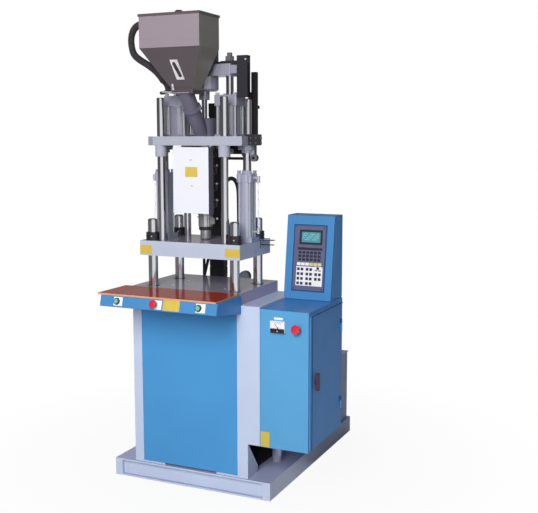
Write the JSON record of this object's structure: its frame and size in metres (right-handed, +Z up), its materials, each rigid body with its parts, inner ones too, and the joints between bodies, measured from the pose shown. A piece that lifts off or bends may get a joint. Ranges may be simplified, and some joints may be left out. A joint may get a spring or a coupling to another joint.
{
  "type": "vertical injection moulding machine",
  "caption": "Vertical injection moulding machine with a four-bar clamp over a low work table, a pellet hopper and a side control cabinet with console.",
  "frame": {"origin": "centre of the base on the floor", "axes": "+Z up, -Y to the operator's side, +X towards the control cabinet"},
  "size_m": [1.1165, 1.4653, 2.382],
  "materials": {
    "frame_paint": "semi-gloss lavender grey paint",
    "blue_paint": "semi-gloss light blue paint",
    "dark_plate": "ground and lacquered plate, dark grey",
    "bronze": "turned bronze",
    "red_board": "glossy red-brown laminated board",
    "white_plastic": "white moulded plastic",
    "zinc_plate": "zinc plated",
    "dark_plastic": "dark moulded panel",
    "display": "green backlit display",
    "red_plastic": "red plastic",
    "motor_paint": "grey-blue machine enamel",
    "ground_steel": "ground steel",
    "platen_paint": "semi-gloss light grey paint",
    "chrome_bar": "hard chromed and polished",
    "black_steel": "black oxide",
    "cylinder_paint": "grey machine enamel",
    "black_rubber": "black hose rubber",
    "heater_metal": "heat-tinted steel band",
    "white_paint": "white powder coat",
    "hopper_steel": "brushed stainless sheet",
    "black_plastic": "black corrugated trunking",
    "lock_plastic": "reddish moulded handle",
    "green_plastic": "green plastic"
  },
  "bodies": {
    "frame": {"base_frame": "frame_paint", "body_housing": "frame_paint", "front_panel": "blue_paint", "rear_cover": "blue_paint", "table_platen": "dark_plate", "table_bushings": "bronze", "table_board": "red_board", "apron_housing": "blue_paint", "button_bezels": "white_plastic", "clamp_cylinder": "frame_paint", "control_cabinet": "blue_paint", "electrical_plate": "zinc_plate", "control_console": "blue_paint", "panel_bezel": "dark_plastic", "display_window": "display", "ammeter_case": "white_plastic", "oil_tank": "frame_paint", "pump_motor": "motor_paint", "valve_manifold": "ground_steel", "return_filter": "black_plastic"},
    "clamp_platen": {"moving_platen": "platen_paint", "tie_bars": "chrome_bar", "tie_bar_nuts": "black_steel", "guide_rods": "chrome_bar", "lift_cylinders": "cylinder_paint", "lower_crosshead": "platen_paint", "clamp_ram": "chrome_bar", "oil_fittings": "zinc_plate", "platen_striker": "black_steel", "lift_hose": "black_rubber"},
    "injection_unit": {"guide_bar": "platen_paint", "carriage_plate": "cylinder_paint", "guide_bushings": "ground_steel", "lift_rods": "chrome_bar", "injection_cylinders": "cylinder_paint", "barrel": "ground_steel", "heater_bands": "heater_metal", "nozzle": "ground_steel", "heater_cover": "white_paint", "feed_pipe": "hopper_steel", "hopper": "hopper_steel", "hopper_hose": "black_rubber", "cable_duct": "black_plastic", "switch_rail": "black_steel", "oil_manifold": "black_steel"},
    "screw_carriage": {"drive_crosshead": "cylinder_paint", "piston_rods": "chrome_bar", "bearing_housing": "cylinder_paint", "hydraulic_motor": "motor_paint", "striker_plate": "black_steel"},
    "screw": {"injection_screw": "chrome_bar"},
    "hopper_shutter": {"shutter_slide": "black_steel"},
    "hopper_cover": {"hopper_lid": "hopper_steel"},
    "cabinet_door": {"cabinet_door": "blue_paint"},
    "door_lock": {"door_lock": "lock_plastic"},
    "start_button_left": {"start_button_left": "green_plastic"},
    "start_button_right": {"start_button_right": "green_plastic"},
    "apron_stop": {"apron_stop": "red_plastic"},
    "cabinet_stop": {"cabinet_stop": "red_plastic"},
    "meter_needle": {"ammeter_needle": "red_plastic"}
  },
  "joints": [
    {"name": "clamp_stroke", "type": "slide", "parent": "frame", "child": "clamp_platen", "axis": [0, 0, 1], "range_m": [-0.031, 0.17]},
    {"name": "nozzle_lift", "type": "slide", "parent": "clamp_platen", "child": "injection_unit", "axis": [0, 0, 1], "range_m": [0, 0.17]},
    {"name": "injection_stroke", "type": "slide", "parent": "injection_unit", "child": "screw_carriage", "axis": [0, 0, 1], "range_m": [-0.07, 0.07]},
    {"name": "screw_rotation", "type": "hinge", "parent": "screw_carriage", "child": "screw", "pos_m": [0, -0.402, 2], "axis": [0, 0, 1], "continuous": true},
    {"name": "hopper_shutter_slide", "type": "slide", "parent": "injection_unit", "child": "hopper_shutter", "axis": [1, 0, 0], "range_m": [0, 0.062]},
    {"name": "hopper_lid_lift", "type": "slide", "parent": "injection_unit", "child": "hopper_cover", "axis": [0, 0, 1], "range_m": [0, 0.15]},
    {"name": "cabinet_door_hinge", "type": "hinge", "parent": "frame", "child": "cabinet_door", "pos_m": [0.653, -0.151, 0.61], "axis": [0, 0, 1], "range_deg": [0, 110]},
    {"name": "door_lock_turn", "type": "hinge", "parent": "cabinet_door", "child": "door_lock", "pos_m": [0.645, -0.5, 0.605], "axis": [1, 0, 0], "range_deg": [0, 90]},
    {"name": "start_button_left_push", "type": "slide", "parent": "frame", "child": "start_button_left", "axis": [0, 0.968, -0.251], "range_m": [0, 0.004], "stiffness_N_per_m": 800},
    {"name": "start_button_right_push", "type": "slide", "parent": "frame", "child": "start_button_right", "axis": [0, 0.968, -0.251], "range_m": [0, 0.004], "stiffness_N_per_m": 800},
    {"name": "apron_stop_push", "type": "slide", "parent": "frame", "child": "apron_stop", "axis": [0, 0.968, -0.251], "range_m": [0, 0.005]},
    {"name": "cabinet_stop_push", "type": "slide", "parent": "frame", "child": "cabinet_stop", "axis": [0, 1, 0], "range_m": [0, 0.005]},
    {"name": "ammeter_needle_turn", "type": "hinge", "parent": "frame", "child": "meter_needle", "pos_m": [0.488, -0.5895, 0.873], "axis": [0, 1, 0], "range_deg": [0, 84], "stiffness_Nm_per_rad": 0.002}
  ]
}
